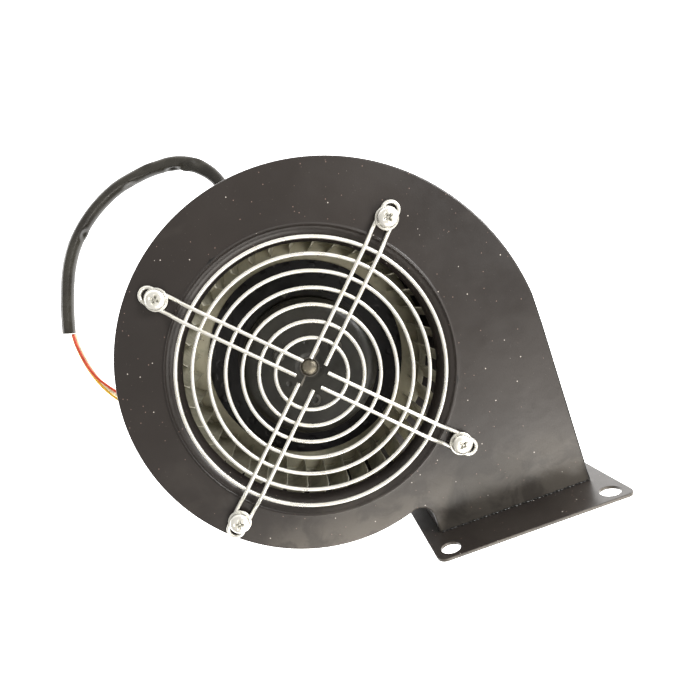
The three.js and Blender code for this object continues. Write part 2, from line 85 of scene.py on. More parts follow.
def add_camera():
    """The camera stands close over the inlet, a little behind the fan axis."""
    data = bpy.data.cameras.new("camera")
    camera = new_object("camera", data)
    look = CAMERA_LOOK.normalized()
    right = look.cross(CAMERA_UP.normalized()).normalized()
    turn = Matrix((right, right.cross(look), -look)).transposed().to_4x4()
    camera.matrix_world = Matrix.Translation(CAMERA_PLACE * MM) @ turn
    data.sensor_width = 36
    data.lens = CAMERA_LENS
    data.shift_x, data.shift_y = CAMERA_SHIFT
    data.clip_start = 0.01
    data.clip_end = 20
    bpy.context.scene.camera = camera


add_camera()


# ---- materials ----


def srgb(red, green, blue):
    """A colour given as 0 to 255 screen values, as linear light."""
    def linear(value):
        share = value / 255
        return share / 12.92 if share <= 0.04045 else ((share + 0.055) / 1.055) ** 2.4
    return (linear(red), linear(green), linear(blue), 1)


class Finish:
    """A node material under construction: a principled shader fed by procedural textures."""

    def __init__(self, name, metallic=0.0, **sockets):
        self.material = bpy.data.materials.new(name)
        self.material.use_nodes = True
        self.nodes = self.material.node_tree.nodes
        self.shader = self.nodes["Principled BSDF"]
        self.shader.inputs["Metallic"].default_value = metallic
        for socket, value in sockets.items():
            self.shader.inputs[socket.replace("_", " ")].default_value = value
        self.place = self.nodes.new("ShaderNodeTexCoord").outputs["Object"]
        self.colour = None
        self.height = None

    def link(self, source, target):
        self.material.node_tree.links.new(source, target)

    def stretched(self, scale):
        """Object coordinates scaled by a different number on each axis."""
        mapping = self.nodes.new("ShaderNodeMapping")
        mapping.inputs["Scale"].default_value = scale
        self.link(self.place, mapping.inputs["Vector"])
        return mapping.outputs["Vector"]

    def noise(self, scale, detail=3.0, rough=0.5, vector=None, distortion=0.0):
        node = self.nodes.new("ShaderNodeTexNoise")
        node.inputs["Scale"].default_value = scale
        node.inputs["Detail"].default_value = detail
        node.inputs["Roughness"].default_value = rough
        node.inputs["Distortion"].default_value = distortion
        self.link(vector or self.place, node.inputs["Vector"])
        return node.outputs["Fac"]

    def ranged(self, source, low, high, to_low=0.0, to_high=1.0):
        node = self.nodes.new("ShaderNodeMapRange")
        node.interpolation_type = "SMOOTHSTEP"
        ends = {"From Min": low, "From Max": high, "To Min": to_low, "To Max": to_high}
        for socket, value in ends.items():
            node.inputs[socket].default_value = value
        self.link(source, node.inputs["Value"])
        return node.outputs["Result"]

    def component(self, vector, axis):
        split = self.nodes.new("ShaderNodeSeparateXYZ")
        self.link(vector, split.inputs["Vector"])
        return split.outputs[axis]

    def upward(self):
        """How far the surface faces up, where dust settles: 1 on a level top."""
        return self.component(self.nodes.new("ShaderNodeNewGeometry").outputs["Normal"], "Z")

    def product(self, first, second):
        node = self.nodes.new("ShaderNodeMath")
        node.operation = "MULTIPLY"
        self.link(first, node.inputs[0])
        self.link(second, node.inputs[1])
        return node.outputs["Value"]

    def cloud(self, scale, detail, low, high, colour, share=1.0, rough=0.5):
        """Soft clouds of another colour, up to the given share of it."""
        self.tint(self.ranged(self.noise(scale, detail, rough), low, high, 0.0, share), colour)

    def specks(self, scale, size, share, colour):
        """Small round specks: one in each cell of a grid, in the given share of the cells."""
        node = self.nodes.new("ShaderNodeTexVoronoi")
        node.inputs["Scale"].default_value = scale
        self.link(self.place, node.inputs["Vector"])
        near = self.ranged(node.outputs["Distance"], size * scale * 0.5, size * scale, 1.0, 0.0)
        split = self.nodes.new("ShaderNodeSeparateColor")
        self.link(node.outputs["Color"], split.inputs["Color"])
        chosen = self.ranged(split.outputs["Red"], share, share * 0.98, 0.0, 1.0)
        self.tint(self.product(near, chosen), colour)

    def edges(self, low, high, colour):
        """Colours the convex edges, or the hollows where low is above high."""
        pointed = self.nodes.new("ShaderNodeNewGeometry").outputs["Pointiness"]
        self.tint(self.ranged(pointed, low, high), colour)

    def tint(self, amount, colour):
        """Blends the colour so far towards another one."""
        mix = self.nodes.new("ShaderNodeMix")
        mix.data_type = "RGBA"
        self.link(amount, mix.inputs["Factor"])
        sockets = {socket.identifier: socket for socket in (*mix.inputs, *mix.outputs)}
        if isinstance(self.colour, tuple):
            sockets["A_Color"].default_value = self.colour
        else:
            self.link(self.colour, sockets["A_Color"])
        sockets["B_Color"].default_value = colour
        self.colour = sockets["Result_Color"]

    def bump(self, source, distance):
        """Adds a relief of the given depth in metres on top of the one so far."""
        node = self.nodes.new("ShaderNodeBump")
        node.inputs["Distance"].default_value = distance
        self.link(source, node.inputs["Height"])
        if self.height is not None:
            self.link(self.height, node.inputs["Normal"])
        self.height = node.outputs["Normal"]

    def roughness(self, source, smooth, rough):
        self.link(self.ranged(source, 0.3, 0.7, smooth, rough), self.shader.inputs["Roughness"])

    def done(self):
        self.link(self.colour, self.shader.inputs["Base Color"])
        if self.height is not None:
            self.link(self.height, self.shader.inputs["Normal"])
        return self.material


def casing_paint(name, smooth, rough):
    """Semi-gloss black powder coat: orange peel, specks, smudges, painted shade on the convex edges, dust
    by the outlet.
    """
    finish = Finish(name, Specular_IOR_Level=0.42)
    finish.colour = srgb(40, 36, 34)
    finish.cloud(9, 4, 0.35, 0.7, srgb(48, 43, 40))
    dust = finish.ranged(finish.component(finish.place, "Y"), -0.052, -0.084)
    patchy = finish.ranged(finish.noise(70, 4, 0.6, distortion=0.6), 0.38, 0.56, 0.45, 0.95)
    lying = finish.ranged(finish.upward(), 0.3, 0.8, 0.08, 1.0)
    finish.tint(finish.product(finish.product(dust, patchy), lying), srgb(92, 87, 80))
    smudge = finish.ranged(finish.noise(26, 5, 0.6, distortion=0.8), 0.58, 0.74, 0.0, 0.35)
    finish.tint(smudge, srgb(66, 62, 58))
    # Painted shade: convex edges and rolled rims are darkened into a dark outline.
    finish.edges(0.53, 0.62, srgb(18, 17, 16))
    finish.specks(420, 0.00034, 0.06, srgb(196, 188, 180))
    finish.specks(560, 0.00030, 0.12, srgb(126, 106, 98))
    finish.specks(800, 0.00014, 0.12, srgb(92, 86, 82))
    finish.roughness(finish.noise(34, 4, 0.6), smooth, rough)
    finish.bump(finish.noise(1400, 2, 0.5), 0.00002)
    finish.bump(finish.noise(60, 2, 0.5), 0.00025)
    return finish.done()


def zinc_plate():
    """Bright zinc on drawn wire and screws, slightly clouded."""
    finish = Finish("zinc_plate", metallic=0.75)
    finish.colour = srgb(240, 239, 232)
    finish.cloud(130, 4, 0.46, 0.74, srgb(226, 223, 208), share=0.7, rough=0.6)
    finish.cloud(60, 3, 0.60, 0.75, srgb(206, 196, 168), share=0.5)
    # Painted shade: hollows, such as the screws' cross recesses and where wires meet, are darkened.
    finish.edges(0.485, 0.44, srgb(70, 68, 60))
    finish.roughness(finish.noise(160, 3), 0.24, 0.40)
    finish.bump(finish.noise(900, 2), 0.000006)
    return finish.done()


def impeller_sheet(name, light, dark):
    """Galvanised strip, dulled by oil and dust, with faint spangle."""
    finish = Finish(name, metallic=0.2)
    finish.colour = light
    finish.cloud(120, 4, 0.40, 0.70, dark, rough=0.6)
    finish.specks(420, 0.00030, 0.12, srgb(84, 78, 66))
    # Painted highlight: convex edges, such as the blades' tips, are lightened almost to white.
    finish.edges(0.56, 0.70, srgb(236, 234, 220))
    finish.roughness(finish.noise(240, 3), 0.38, 0.55)
    finish.bump(finish.noise(1100, 3), 0.000010)
    return finish.done()


def disc_paint():
    """Black dipped back disc, blue-black and slightly glossy."""
    finish = Finish("disc_paint", Specular_IOR_Level=0.4)
    finish.colour = srgb(21, 20, 24)
    finish.cloud(70, 4, 0.40, 0.70, srgb(30, 29, 31))
    finish.specks(500, 0.00016, 0.10, srgb(98, 96, 92))
    finish.edges(0.53, 0.60, srgb(78, 76, 76))
    finish.roughness(finish.noise(120, 3), 0.34, 0.52)
    finish.bump(finish.noise(900, 3), 0.00002)
    return finish.done()


def rotor_steel():
    """Dark grey painted drawn can with faint dust."""
    finish = Finish("rotor_steel", Specular_IOR_Level=0.4)
    finish.colour = srgb(27, 26, 22)
    finish.cloud(60, 4, 0.38, 0.70, srgb(42, 41, 36))
    finish.specks(600, 0.00014, 0.08, srgb(150, 147, 138))
    finish.edges(0.53, 0.60, srgb(112, 108, 100))
    finish.roughness(finish.noise(150, 3), 0.30, 0.46)
    finish.bump(finish.noise(1300, 3), 0.00002)
    return finish.done()


def plain_metal(name, light, dark, grain, smooth, rough):
    """Machined or stamped metal with a directional grain."""
    finish = Finish(name, metallic=1.0)
    finish.colour = light
    finish.cloud(120, 4, 0.38, 0.70, dark)
    lines = finish.noise(1, 3, 0.6, finish.stretched(grain))
    finish.tint(finish.ranged(lines, 0.45, 0.75, 0.0, 0.4), dark)
    finish.roughness(lines, smooth, rough)
    finish.bump(lines, 0.00001)
    return finish.done()


def soft_plastic(name, light, dark, scale, smooth, rough):
    """Flexible PVC or rubber with a faint moulded or drawn texture."""
    finish = Finish(name)
    finish.colour = light
    finish.cloud(scale, 4, 0.40, 0.70, dark)
    finish.specks(700, 0.00012, 0.06, tuple(min(1, c * 2.2) for c in light[:3]) + (1,))
    finish.roughness(finish.noise(scale * 3, 3), smooth, rough)
    finish.bump(finish.noise(scale * 8, 3), 0.00002)
    return finish.done()


# Light and dark shade, grain along X, Y and Z, lowest and highest roughness.
METALS = {
    "shaft_end": (srgb(150, 144, 130), srgb(112, 106, 94), (500, 500, 500), 0.34, 0.50),
    "lamination_steel": (srgb(128, 128, 132), srgb(84, 82, 84), (60, 60, 2200), 0.35, 0.55),
    "bearing_steel": (srgb(214, 214, 214), srgb(168, 168, 166), (60, 60, 900), 0.14, 0.28),
    "cast_aluminium": (srgb(178, 178, 178), srgb(132, 132, 130), (300, 300, 300), 0.42, 0.62),
    "winding_copper": (srgb(176, 104, 62), srgb(112, 58, 32), (1400, 1400, 200), 0.28, 0.45),
}

# Light and dark shade, scale of the texture, lowest and highest roughness.
PLASTICS = {
    "grommet_rubber": (srgb(38, 37, 36), srgb(28, 27, 26), 200, 0.55, 0.75),
    "sleeve_plastic": (srgb(56, 54, 48), srgb(42, 40, 36), 60, 0.20, 0.34),
    "wire_red": (srgb(208, 76, 40), srgb(186, 60, 34), 120, 0.35, 0.5),
    "wire_yellow": (srgb(244, 206, 84), srgb(226, 180, 60), 120, 0.35, 0.5),
    "wire_white": (srgb(240, 232, 200), srgb(222, 210, 168), 120, 0.35, 0.5),
}

FINISHES = {
    "casing_paint": casing_paint("casing_paint", 0.28, 0.40),
    "flange_paint": casing_paint("flange_paint", 0.30, 0.42),
    "zinc_plate": zinc_plate(),
    "impeller_sheet": impeller_sheet("impeller_sheet", srgb(184, 180, 160), srgb(164, 161, 143)),
    "ring_sheet": impeller_sheet("ring_sheet", srgb(182, 177, 155), srgb(162, 158, 138)),
    "disc_paint": disc_paint(),
    "rotor_steel": rotor_steel(),
    **{name: plain_metal(name, *look) for name, look in METALS.items()},
    **{name: soft_plastic(name, *look) for name, look in PLASTICS.items()},
}


# ---- meshes ----


def polar(radius, degrees, z=0.0):
    angle = math.radians(degrees)
    return Vector((radius * math.cos(angle), radius * math.sin(angle), z))


def ease(low, high, value):
    """Smooth step from 0 at low to 1 at high."""
    share = min(1.0, max(0.0, (value - low) / (high - low)))
    return share * share * (3 - 2 * share)


class Solid:
    """Points and faces of a piece under construction."""

    def __init__(self):
        self.points = []
        self.faces = []

    def row(self, points):
        first = len(self.points)
        self.points.extend(Vector(point) for point in points)
        return list(range(first, len(self.points)))

    def ring(self, radius, z, segments, centre=(0, 0)):
        middle = Vector((centre[0], centre[1], 0))
        if radius < 1e-6:
            return self.row([middle + UP * z])
        return self.row(middle + polar(radius, 360 * i / segments, z) for i in range(segments))

    def band(self, first, second, closed=True):
        """Faces between two rows of points; a row of one point is a tip."""
        count = max(len(first), len(second))
        for i in range(count if closed else count - 1):
            j = (i + 1) % count
            low = [first[i % len(first)], first[j % len(first)]]
            high = [second[j % len(second)], second[i % len(second)]]
            self.faces.append(tuple(dict.fromkeys(low + high)))

    def stack(self, rows, closed=True):
        for first, second in zip(rows, rows[1:]):
            self.band(first, second, closed)

    def cap(self, row):
        middle = sum((self.points[i] for i in row), Vector()) / len(row)
        self.band(row, self.row([middle]))

    def fill(self, loops):
        """A flat face in the XY plane: the first loop is its outline and the others are holes."""
        index = [i for loop in loops for i in loop]
        flat = [Vector(self.points[i][:2]) for i in index]
        sides = []
        start = 0
        for loop in loops:
            sides += [(start + i, start + (i + 1) % len(loop)) for i in range(len(loop))]
            start += len(loop)
        found = delaunay_2d_cdt(flat, sides, [], 0, 1e-7, True)
        spots, triangles, origins = found[0], found[2], found[3]
        ends = np.array([[flat[a], flat[b]] for a, b in sides])
        for triangle in triangles:
            middle = sum((spots[i] for i in triangle), Vector((0, 0))) / 3
            if inside(middle, ends):
                self.faces.append(tuple(index[origins[i][0]] for i in triangle))

    def sweep(self, line, section, open_ends=False):
        """A tube along line; section gives each step's offsets across and above it."""
        across = None
        rows = []
        for i, point in enumerate(line):
            ahead = (line[min(i + 1, len(line) - 1)] - line[max(i - 1, 0)]).normalized()
            if across is None:
                across = ahead.cross(UP).normalized()
            across = (across - ahead * across.dot(ahead)).normalized()
            above = across.cross(ahead)
            rows.append(self.row(point + across * u + above * v for u, v in section(i)))
        self.stack(rows)
        if not open_ends:
            self.cap(rows[0])
            self.cap(rows[-1])
        return rows[0], rows[-1]

    def moved(self, matrix):
        self.points = [matrix @ point for point in self.points]
        return self

    def piece(self, name, body, slot, nodes=(), finish=None, crease=35, flat=False):
        mesh = bpy.data.meshes.new(name)
        mesh.from_pydata([point * MM for point in self.points], [], self.faces)
        tidy = bmesh.new()
        tidy.from_mesh(mesh)
        bmesh.ops.remove_doubles(tidy, verts=tidy.verts, dist=1e-6)
        bmesh.ops.recalc_face_normals(tidy, faces=tidy.faces)
        tidy.to_mesh(mesh)
        tidy.free()
        mesh.shade_smooth()
        mesh.set_sharp_from_angle(angle=math.radians(crease))
        piece = new_object(name, mesh)
        mesh.materials.append(FINISHES[finish or slot])
        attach(piece, body)
        if nodes:
            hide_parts(*nodes)
        if flat:
            level_normals(piece)
        return piece


def level_normals(piece):
    """Lets large faces set the shading, so a flat sheet stays flat up to its rounded edges."""
    modifier = piece.modifiers.new("level", "WEIGHTED_NORMAL")
    modifier.weight = 100
    modifier.keep_sharp = True


def inside(spot, ends):
    """True if an odd number of the sides lies to the right of the spot."""
    first, second = ends[:, 0], ends[:, 1]
    spans = (first[:, 1] > spot.y) != (second[:, 1] > spot.y)
    rise = np.where(spans, second[:, 1] - first[:, 1], 1)
    crossing = first[:, 0] + (spot.y - first[:, 1]) / rise * (second[:, 0] - first[:, 0])
    return int((spans & (crossing > spot.x)).sum()) % 2 == 1


def turned(profile, segments, closed=True, solid=None, centre=(0, 0)):
    """A turned solid from radius and height pairs; closed joins the last pair to the first."""
    solid = solid or Solid()
    rows = [solid.ring(radius, z, segments, centre) for radius, z in profile]
    solid.stack(rows + rows[:1] if closed else rows)
    return solid


def bend(centre_r, centre_z, radius, start, end, steps=6):
    """Profile points on an arc, from one angle to another."""
    angles = [math.radians(start + (end - start) * i / steps) for i in range(steps + 1)]
    return [(centre_r + radius * math.cos(a), centre_z + radius * math.sin(a)) for a in angles]


def washer_profile(inner, outer, low, high, edge):
    """A flat ring with rounded edges."""
    return [
        *bend(outer - edge, low + edge, edge, -90, 0, 3),
        *bend(outer - edge, high - edge, edge, 0, 90, 3),
        *bend(inner + edge, high - edge, edge, 90, 180, 3),
        *bend(inner + edge, low + edge, edge, 180, 270, 3),
    ]


def round_section(radius, sides=12):
    angles = [2 * math.pi * i / sides for i in range(sides)]
    return [(radius * math.cos(angle), radius * math.sin(angle)) for angle in angles]


def softened(points, radius, steps=6):
    """A line through points whose corners are rounded off."""
    line = [points[0]]
    for before, corner, after in zip(points, points[1:], points[2:]):
        reach = min(radius, (before - corner).length * 0.49, (after - corner).length * 0.49)
        start = corner + (before - corner).normalized() * reach
        end = corner + (after - corner).normalized() * reach
        for i in range(steps + 1):
            share = i / steps
            line.append(start.lerp(corner, share).lerp(corner.lerp(end, share), share))
    return line + [points[-1]]


def smooth_line(points, step):
    """Points about step apart on a Catmull-Rom curve through the given ones."""
    spots = [Vector(p) for p in points]
    spots = [spots[0] * 2 - spots[1], *spots, spots[-1] * 2 - spots[-2]]
    line = []
    for a, b, c, d in zip(spots, spots[1:], spots[2:], spots[3:]):
        count = max(1, round((c - b).length / step))
        for i in range(count):
            t = i / count
            line.append(0.5 * (2 * b + (c - a) * t + (2 * a - 5 * b + 4 * c - d) * t * t
                               + (3 * b - a - 3 * c + d) * t ** 3))
    return line + [spots[-2]]


def line_length(line):
    return sum((b - a).length for a, b in zip(line, line[1:]))


# ---- cords ----

# Centre lines in metres, from the fan outwards, as in the CAD.
SLEEVE_ROUTE = [
    (-0.0070, 0.0394, 0.0125), (-0.0086, 0.0488, 0.0125), (-0.0102, 0.0586, 0.0106),
    (-0.0112, 0.0690, 0.0070), (-0.0118, 0.0800, 0.0048), (-0.0118, 0.0910, 0.0042),
    (-0.0120, 0.1015, 0.0042), (-0.0133, 0.1110, 0.0042), (-0.0176, 0.1196, 0.0042),
    (-0.0250, 0.1268, 0.0042), (-0.0346, 0.1310, 0.0042), (-0.0460, 0.1322, 0.0042),
    (-0.0570, 0.1316, 0.0042), (-0.0720, 0.1288, 0.0042), (-0.0865, 0.1226, 0.0042),
    (-0.0986, 0.1146, 0.0042), (-0.1072, 0.1066, 0.0042), (-0.1134, 0.0986, 0.0042),
    (-0.1186, 0.0896, 0.0042), (-0.1230, 0.0796, 0.0042), (-0.1272, 0.0686, 0.0042),
    (-0.1307, 0.0574, 0.0042),
]

WIRE_ROUTES = {
    "wire_red": [
        (-0.1287, 0.0562, 0.0045), (-0.1295, 0.0526, 0.0036), (-0.1298, 0.0490, 0.0030),
        (-0.1297, 0.0452, 0.0027), (-0.1294, 0.0414, 0.0026), (-0.1281, 0.0335, 0.0026),
        (-0.1254, 0.0261, 0.0026), (-0.1216, 0.0195, 0.0020), (-0.1175, 0.0134, 0.0010),
        (-0.1128, 0.0074, 0.0010), (-0.1075, 0.0018, 0.0010), (-0.1016, -0.0031, 0.0010),
        (-0.0951, -0.0075, 0.0010), (-0.0882, -0.0114, 0.0010), (-0.0810, -0.0146, 0.0010),
        (-0.0734, -0.0173, 0.0010),
    ],
    "wire_yellow": [
        (-0.1298, 0.0564, 0.0025), (-0.1306, 0.0527, 0.0017), (-0.1309, 0.0490, 0.0012),
        (-0.1308, 0.0452, 0.0010), (-0.1305, 0.0413, 0.0010), (-0.1293, 0.0332, 0.0010),
        (-0.1272, 0.0254, 0.0010), (-0.1243, 0.0181, 0.0010), (-0.1205, 0.0114, 0.0010),
        (-0.1158, 0.0050, 0.0010), (-0.1103, -0.0010, 0.0010), (-0.1042, -0.0065, 0.0010),
        (-0.0975, -0.0113, 0.0010), (-0.0904, -0.0154, 0.0010), (-0.0828, -0.0190, 0.0010),
        (-0.0752, -0.0219, 0.0010),
    ],
    "wire_white": [
        (-0.1280, 0.0560, 0.0028), (-0.1288, 0.0525, 0.0019), (-0.1291, 0.0490, 0.0013),
        (-0.1290, 0.0452, 0.0010), (-0.1287, 0.0415, 0.0010), (-0.1275, 0.0336, 0.0010),
        (-0.1256, 0.0260, 0.0010), (-0.1228, 0.0188, 0.0010), (-0.1190, 0.0124, 0.0010),
        (-0.1143, 0.0062, 0.0010), (-0.1089, 0.0004, 0.0010), (-0.1029, -0.0048, 0.0010),
        (-0.0963, -0.0094, 0.0010), (-0.0893, -0.0134, 0.0010), (-0.0819, -0.0168, 0.0010),
        (-0.0743, -0.0196, 0.0010),
    ],
}

SLEEVE_R = 4.0
SLEEVE_WALL = 0.8
SLEEVE_BORE_DEPTH = 22.0
WIRE_R = 0.8
TINNED_LENGTH = 5.0
TINNED_R = 0.55
TINNED_STEPS = 12
TINNED_SIDES = 28
TINNED_STRANDS = 7

# Where its tightest bend flattens the sleeve, by distance from the far end.
FLAT_START = (122, 132)
FLAT_STOP = (164, 150)

# Where the soft sleeve has buckled: distance from the far end, side of the sleeve (degrees from
# its top towards the fan), depth and length of the dent.
SLEEVE_DENTS = [
    (62.0, 62, 1.5, 5.0),
    (104.0, 70, 1.0, 6.0),
    (118.0, -15, 0.8, 9.0),
    (133.0, 78, 2.2, 7.0),
    (141.0, 40, 1.2, 6.0),
    (148.0, -30, 1.0, 5.0),
]


def sleeve_section(from_end, sides=40):
    """The sleeve's outline at a distance from its far end: round, creased, dented, flat at the bend."""
    outline = []
    for i in range(sides):
        angle = 360 * i / sides
        radius = SLEEVE_R - 0.10 + 0.10 * math.cos(math.radians(3 * angle + 1.6 * from_end))
        radius -= 0.18 * ease(14, 0, abs((angle - 50 + 0.25 * from_end + 180) % 360 - 180))
        for at, side, depth, length in SLEEVE_DENTS:
            turn = abs((angle - (90 + side) + 180) % 360 - 180)
            near = ease(length, 0, abs(from_end - at))
            radius -= depth * ease(46, 6, turn) * near
            radius += depth * 0.25 * ease(80, 46, turn) * ease(30, 50, turn) * near
        flat = ease(*FLAT_START, from_end) * ease(*FLAT_STOP, from_end)
        outline.append((
            radius * (1 + 0.10 * flat) * math.cos(math.radians(angle)),
            radius * (1 - 0.22 * flat) * math.sin(math.radians(angle))))
    return outline


def add_sleeve():
    """The black sleeve, an open soft tube with the wires' bore at its far end."""
    line = smooth_line([Vector(p) / MM for p in SLEEVE_ROUTE], 1.2)
    whole = line_length(line)
    gone = [0.0]
    for a, b in zip(line, line[1:]):
        gone.append(gone[-1] + (b - a).length)
    tube = Solid()
    first, mouth = tube.sweep(line, lambda i: sleeve_section(whole - gone[i]), open_ends=True)
    tube.cap(first)
    bore = [i for i in range(len(line)) if whole - gone[i] < SLEEVE_BORE_DEPTH]
    share = 1 - SLEEVE_WALL / SLEEVE_R
    inner = Solid()
    back, rim = inner.sweep(
        [line[i] for i in bore],
        lambda k: [(u * share, v * share) for u, v in sleeve_section(whole - gone[bore[k]])],
        open_ends=True)
    shift = len(tube.points)
    tube.points += inner.points
    tube.faces += [tuple(i + shift for i in face) for face in inner.faces]
    tube.cap([i + shift for i in back])
    tube.band(mouth, [i + shift for i in rim])
    sleeve = tube.piece("sleeve_tube", CASING, "sleeve_plastic", ["lead_sleeve"], crease=60)


def add_wire(name, route):
    """One lead of the motor, with its tinned end."""
    line = smooth_line([Vector(p) / MM for p in route], 1.5)
    data = bpy.data.curves.new(name + "_lead", "CURVE")
    data.dimensions = "3D"
    data.bevel_depth = WIRE_R * MM
    data.bevel_resolution = 5
    data.use_fill_caps = True
    spline = data.splines.new("POLY")
    spline.points.add(len(line) - 1)
    for spot, point in zip(spline.points, line):
        spot.co = (*(point * MM), 1)
    lead = new_object(name + "_lead", data)
    data.materials.append(FINISHES[name])
    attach(lead, CASING)
    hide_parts(name)
    ahead = (line[-1] - line[-2]).normalized()
    start = line[-1] - ahead * 0.5
    strands = [start + ahead * (TINNED_LENGTH * i / TINNED_STEPS) for i in range(TINNED_STEPS + 1)]

    def strand_section(i):
        outer = TINNED_R - 0.05 * (i == TINNED_STEPS)
        section = []
        for k in range(TINNED_SIDES):
            angle = 2 * math.pi * k / TINNED_SIDES
            radius = outer * (1 + 0.07 * math.cos(TINNED_STRANDS * angle + 0.9 * i))
            section.append((radius * math.cos(angle), radius * math.sin(angle)))
        return section

    tip = Solid()
    tip.sweep(strands, strand_section)
    end = tip.piece(name + "_tinned_end", CASING, "zinc_plate")


add_sleeve()
for wire_name, wire_route in WIRE_ROUTES.items():
    add_wire(wire_name, wire_route)


# ---- casing ----

front_low, front_high = box_mm("front_plate")
rear_low = box_mm("rear_plate")[0]
wrap_low, wrap_high = box_mm("scroll_wrap")
flange_low, flange_high = box_mm("outlet_flange")

FACE_Z = front_high.z
REAR_Z = rear_low.z
SHEET = 1.0
SEAM = 0.6
NECK_LEFT_X = 31.2
NECK_RIGHT_X = front_high.x
NECK_TOP_Y = -14
NECK_END_Y = front_low.y
TONGUE_X = 25.0
TONGUE_Y = -82.07
TONGUE_R = 6.2
SCROLL_START_R = 79.6
SCROLL_GROWTH = 0.055
SCROLL_FLARE = 8.8
SCROLL_FLARE_POWER = 5
SCROLL_TURN = 286.94
SCREW_XY = 52.5
PLATE_HOLE_R = 2.4
MOTOR_SCREW_XY = 47.5 / math.sqrt(2)
MOTOR_OPENING_R = 39.0
FLANGE_HOLE_X = 36.5
FLANGE_HOLE_Z = 45
FLANGE_HOLE_R = 4.25
WRAP_LEVELS = 9
CORNERS = [(1, 1), (-1, 1), (-1, -1), (1, -1)]


def wrap_line(inset, z):
    """The casing's side line: short neck wall, tongue, scroll, long wall."""
    line = [Vector((NECK_LEFT_X + inset, NECK_END_Y, z))]
    tongue_steps = 20
    tongue_arc = SCROLL_TURN - 180
    tongue = Vector((TONGUE_X, TONGUE_Y, z))
    for i in range(tongue_steps + 1):
        line.append(tongue + polar(TONGUE_R + inset, tongue_arc * i / tongue_steps))
    scroll_steps = 240
    for i in range(1, scroll_steps + 1):
        turn = SCROLL_TURN * i / scroll_steps
        flare = SCROLL_FLARE * (turn / SCROLL_TURN) ** SCROLL_FLARE_POWER
        point = polar(SCROLL_START_R + SCROLL_GROWTH * turn + flare - inset, SCROLL_TURN - turn, z)
        point.x = min(point.x, NECK_RIGHT_X - inset)
        line.append(point)
    line.append(Vector((NECK_RIGHT_X - inset, NECK_TOP_Y, z)))
    line.append(Vector((NECK_RIGHT_X - inset, NECK_END_Y, z)))
    return line


def hem_profile(face_z, inward):
    """Inset and height pairs over a side plate's rolled rim; inward is 1 or -1 along Z."""
    drop = 3.2
    round_r = 0.9
    hem = 0.5
    pairs = [(2.6, face_z), (1.1, face_z)]
    for i in range(6):
        angle = math.radians(90 * i / 5)
        inset = round_r - round_r * math.sin(angle)
        pairs.append((inset, face_z + inward * round_r * (1 - math.cos(angle))))
    pairs += [
        (0.0, face_z + inward * (drop - 0.2)),
        (0.12, face_z + inward * drop),
        (hem - 0.1, face_z + inward * drop),
        (hem, face_z + inward * (drop - 0.15)),
        (hem, face_z + inward * (SHEET + 0.08)),
        (hem + 0.1, face_z + inward * SHEET),
        (2.6, face_z + inward * SHEET),
    ]
    return pairs


def drilled_hole(solid, x, y, radius, face_z, inward, segments=32, edge=0.15):
    """A round hole through a side plate; returns its rim loops on the outer and inner face."""
    levels = [(radius + edge, 0.0), (radius + edge * 0.3, edge * 0.3), (radius, edge),
              (radius, SHEET - edge), (radius + edge, SHEET)]
    rows = [solid.ring(r, face_z + inward * depth, segments, (x, y)) for r, depth in levels]
    solid.stack(rows)
    return rows[0], rows[-1]


def side_plate(face_z, inward, opening, hole_spots):
    """A scroll side plate: rolled rim, turned opening and screw holes."""
    solid = Solid()
    rim = [solid.row(wrap_line(inset, z)) for inset, z in hem_profile(face_z, inward)]
    solid.stack(rim, closed=False)
    solid.faces.append((rim[0][0], rim[0][-1], rim[-1][-1], rim[-1][0]))
    for end in (0, -1):
        solid.faces.append(tuple(row[end] for row in rim))
    mouth = [solid.ring(radius, z, 192) for radius, z in opening]
    solid.stack(mouth)
    outer_loops = [rim[0], mouth[0]]
    inner_loops = [rim[-1], mouth[-1]]
    for x, y in hole_spots:
        outer, inner = drilled_hole(solid, x, y, PLATE_HOLE_R, face_z, inward)
        outer_loops.append(outer)
        inner_loops.append(inner)
    solid.fill(outer_loops)
    solid.fill(inner_loops)
    return solid


def add_front_plate():
    """Front plate with the inlet pressed in it: a small bead, then the bell down to the throat."""
    throat = 58.0
    bell = 8.0
    lip_z = 88.5
    bead = 0.6
    opening = [
        (67.6, FACE_Z),
        (66.0, FACE_Z),
        (65.6, FACE_Z + bead * 0.08),
        (65.3, FACE_Z + bead * 0.35),
        (65.05, FACE_Z + bead * 0.8),
        (64.75, FACE_Z + bead),
        (64.45, FACE_Z + bead * 0.7),
        (64.2, FACE_Z + bead * 0.1),
        (63.95, FACE_Z - 0.24),
        *bend(throat + bell, FACE_Z - bell, bell, 107, 180, 16),
        (throat, lip_z + 0.3),
        (throat + 0.1, lip_z + 0.08),
        (throat + 0.3, lip_z),
        (throat + SHEET - 0.2, lip_z),
        (throat + SHEET, lip_z + 0.2),
        *bend(throat + bell, FACE_Z - bell, bell - SHEET, 180, 90, 10),
        (67.6, FACE_Z - SHEET),
    ]
    spots = [(sx * SCREW_XY, sy * SCREW_XY) for sx, sy in CORNERS]
    side_plate(FACE_Z, -1, opening, spots).piece(
        "front_plate_sheet", CASING, "casing_paint", ["front_plate"], flat=True)


def add_rear_plate():
    """Rear plate with the motor's opening, which the motor flange closes."""
    edge = MOTOR_OPENING_R
    opening = [
        (edge + 2, REAR_Z),
        (edge + 0.2, REAR_Z),
        (edge, REAR_Z + 0.2),
        (edge, REAR_Z + SHEET - 0.2),
        (edge + 0.2, REAR_Z + SHEET),
        (edge + 2, REAR_Z + SHEET),
    ]
    spots = [(sx * MOTOR_SCREW_XY, sy * MOTOR_SCREW_XY) for sx, sy in CORNERS]
    side_plate(REAR_Z, 1, opening, spots).piece(
        "rear_plate_sheet", CASING, "casing_paint", ["rear_plate"], flat=True)


